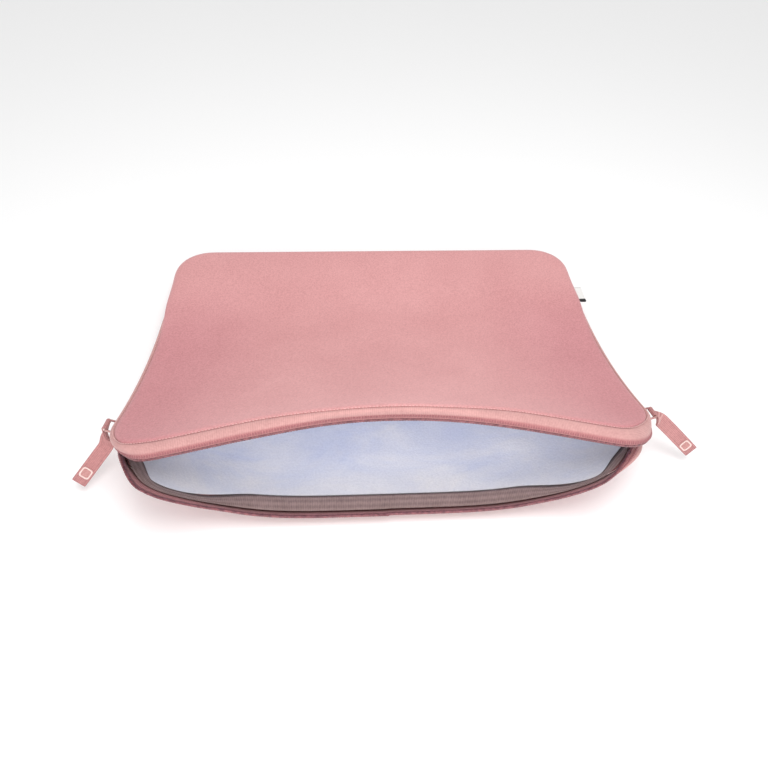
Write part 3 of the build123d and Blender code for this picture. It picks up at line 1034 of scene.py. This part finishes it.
# painted shade: the band is much darker towards its inner edge, where it meets the lining
GROSGRAIN = woven_material("grosgrain", (0.14, 0.085, 0.08), (0.34, 0.235, 0.22), 1.1 * MM, 2.2 * MM,
                           edge=(5.8 * MM, 7.6 * MM), painted_shade_tint=(0.30, 0.26, 0.27))
WEBBING = woven_material("webbing", (0.26, 0.10, 0.105), (0.56, 0.265, 0.255), 0.9 * MM, 1.1 * MM)
COIL = coil_material("zip_coil", (0.12, 0.035, 0.045), (0.27, 0.095, 0.105))
THREAD = thread_material("seam_thread", (0.74, 0.45, 0.43))
DARK_THREAD = thread_material("coil_thread", (0.33, 0.11, 0.12))
LABEL = label_material()
ENAMEL = enamel_material()
GRIP = rubber_material("grip_rubber", (0.66, 0.48, 0.45), (0.80, 0.62, 0.58))
GRIP_FACE = rubber_material("grip_face", (0.40, 0.18, 0.17), (0.50, 0.25, 0.235))


def make_panels():
    """Knit-and-foam panels and their plush linings."""
    upper = subdivide(pad("upper_panel", 0.0, upper_face, upper_core, SEAM_IN, shape=upper_edge))
    dress(upper, KNIT)
    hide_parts("upper_panel_skin", "upper_panel_foam", "upper_lip_skin", "upper_lip_foam",
                "back_fold_skin", "back_fold_foam")
    across_lip(upper)

    lower = subdivide(pad("lower_panel", 0.0, lower_face, lower_core, SEAM_IN))
    dress(lower, KNIT)
    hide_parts("lower_panel_skin", "lower_panel_foam")
    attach(lower, "sleeve")

    gap = FLEECE * 0.8
    top_lining = subdivide(pad("upper_lining", LINING_IN, upper_fleece,
                               lining_back(upper_fleece, gap)))
    dress(top_lining, PLUSH)
    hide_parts("upper_panel_lining", "upper_lip_lining", "back_fold_lining")
    across_lip(top_lining)

    low_lining = subdivide(pad("lower_lining", LINING_IN, lower_fleece,
                               lining_back(lower_fleece, -gap), shape=lower_lining_edge))
    dress(low_lining, PLUSH)
    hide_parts("lower_panel_lining")
    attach(low_lining, "sleeve")


def make_zip():
    """Tapes, coil rows, inner bands and their stitching."""
    for word, height, direction in (("upper", top_z, -1), ("lower", bottom_z, 1)):
        tape = subdivide(wall_piece(f"{word}_zip_tape", TAPE_SECTION, height, direction, 4 * MM))
        dress(tape, TAPE_CLOTH)
        coil = coil_piece(f"{word}_zip_coil", height, direction)
        dress(coil, COIL)
        band = subdivide(wall_piece(f"{word}_inner_band", BAND_SECTION, height, direction, 4 * MM,
                                    narrow=True))
        dress(band, GROSGRAIN)
        sewn = coil_row(f"{word}_coil_stitches", 1.05 * MM, 7.6 * MM, 10.4 * MM, height, direction,
                        COIL_PITCH, 0.48 * MM)
        dress(sewn, DARK_THREAD)
        seam = seam_row(f"{word}_seam_stitches", -0.6 * MM, 1.15 * MM, height, direction,
                        1.9 * MM, 0.22 * MM)
        dress(seam, THREAD)
        pieces = (tape, coil, band, sewn, seam)
        if word == "upper":
            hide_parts("upper_lip_tape", "upper_tape_left", "upper_tape_right")
            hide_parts("upper_lip_coil", "upper_coil_left", "upper_coil_right")
            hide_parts("upper_lip_band", "upper_band_left", "upper_band_right")
            for piece in pieces:
                across_lip(piece)
        else:
            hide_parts("lower_tape")
            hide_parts("lower_coil")
            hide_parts("lower_band")
            for piece in pieces:
                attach(piece, "sleeve")


def make_hardware():
    """CAD pieces that stay, with their finishes."""
    for side in ("left", "right"):
        for name in ("slider", "pull_ring"):
            dress(frame["nodes"][f"{name}_{side}"], ENAMEL)
        dress(frame["nodes"][f"end_stop_{side}"], COIL)


make_panels()
make_zip()
make_hardware()
make_label()
for side_name, side_sign in (("left", -1), ("right", 1)):
    make_tab(side_name, side_sign)
    make_strap(side_name)
    make_patch(side_name)


# ---------------------------------------------------------------- studio

def area_light(name, place, target, size, power):
    data = bpy.data.lights.new(name, "AREA")
    data.shape = "SQUARE"
    data.size = size
    data.energy = power
    light = bpy.data.objects.new(name, data)
    bpy.context.collection.objects.link(light)
    light.location = place
    aim = Vector(target) - Vector(place)
    light.rotation_euler = aim.to_track_quat("-Z", "Y").to_euler()


def make_studio():
    """Pale floor and soft light."""
    bpy.ops.mesh.primitive_plane_add(size=20, location=(0, 0, -0.0002))
    floor = bpy.context.object
    floor.name = "floor"
    paint = Paint("floor", 0.7)
    paint.shader.inputs["Base Color"].default_value = (0.95, 0.95, 0.95, 1)
    floor.data.materials.append(paint.material)
    world = bpy.data.worlds.new("studio")
    world.use_nodes = True
    world.node_tree.nodes["Background"].inputs["Color"].default_value = (1, 1, 1, 1)
    world.node_tree.nodes["Background"].inputs["Strength"].default_value = 0.82
    bpy.context.scene.world = world
    area_light("key", (0.04, -0.22, 0.62), (0.01, -0.02, 0.03), 0.3, 1.9)
    area_light("front", (0.0, -1.0, 0.42), (0, 0, 0.03), 0.6, 4.6)


def make_camera():
    """Close, looking down into the mouth."""
    elevation = math.radians(48.18)
    azimuth = math.radians(-4.70)
    roll_angle = math.radians(2.36)
    distance = 0.4954
    target = Vector((0.0042, 0, -0.0122))
    back = Vector((math.sin(azimuth) * math.cos(elevation), -math.cos(azimuth) * math.cos(elevation),
                   math.sin(elevation)))
    right = (-back).cross(Vector((0, 0, 1))).normalized()
    up = right.cross(-back)
    tilted_right = right * math.cos(roll_angle) + up * math.sin(roll_angle)
    tilted_up = up * math.cos(roll_angle) - right * math.sin(roll_angle)
    data = bpy.data.cameras.new("camera")
    data.lens = 29.06
    data.sensor_width = 36
    camera = bpy.data.objects.new("camera", data)
    bpy.context.collection.objects.link(camera)
    turn = Matrix((tilted_right, tilted_up, back)).transposed().to_4x4()
    camera.matrix_world = Matrix.Translation(target + back * distance) @ turn
    bpy.context.scene.camera = camera


make_studio()
make_camera()
bpy.context.scene.view_settings.view_transform = "Standard"
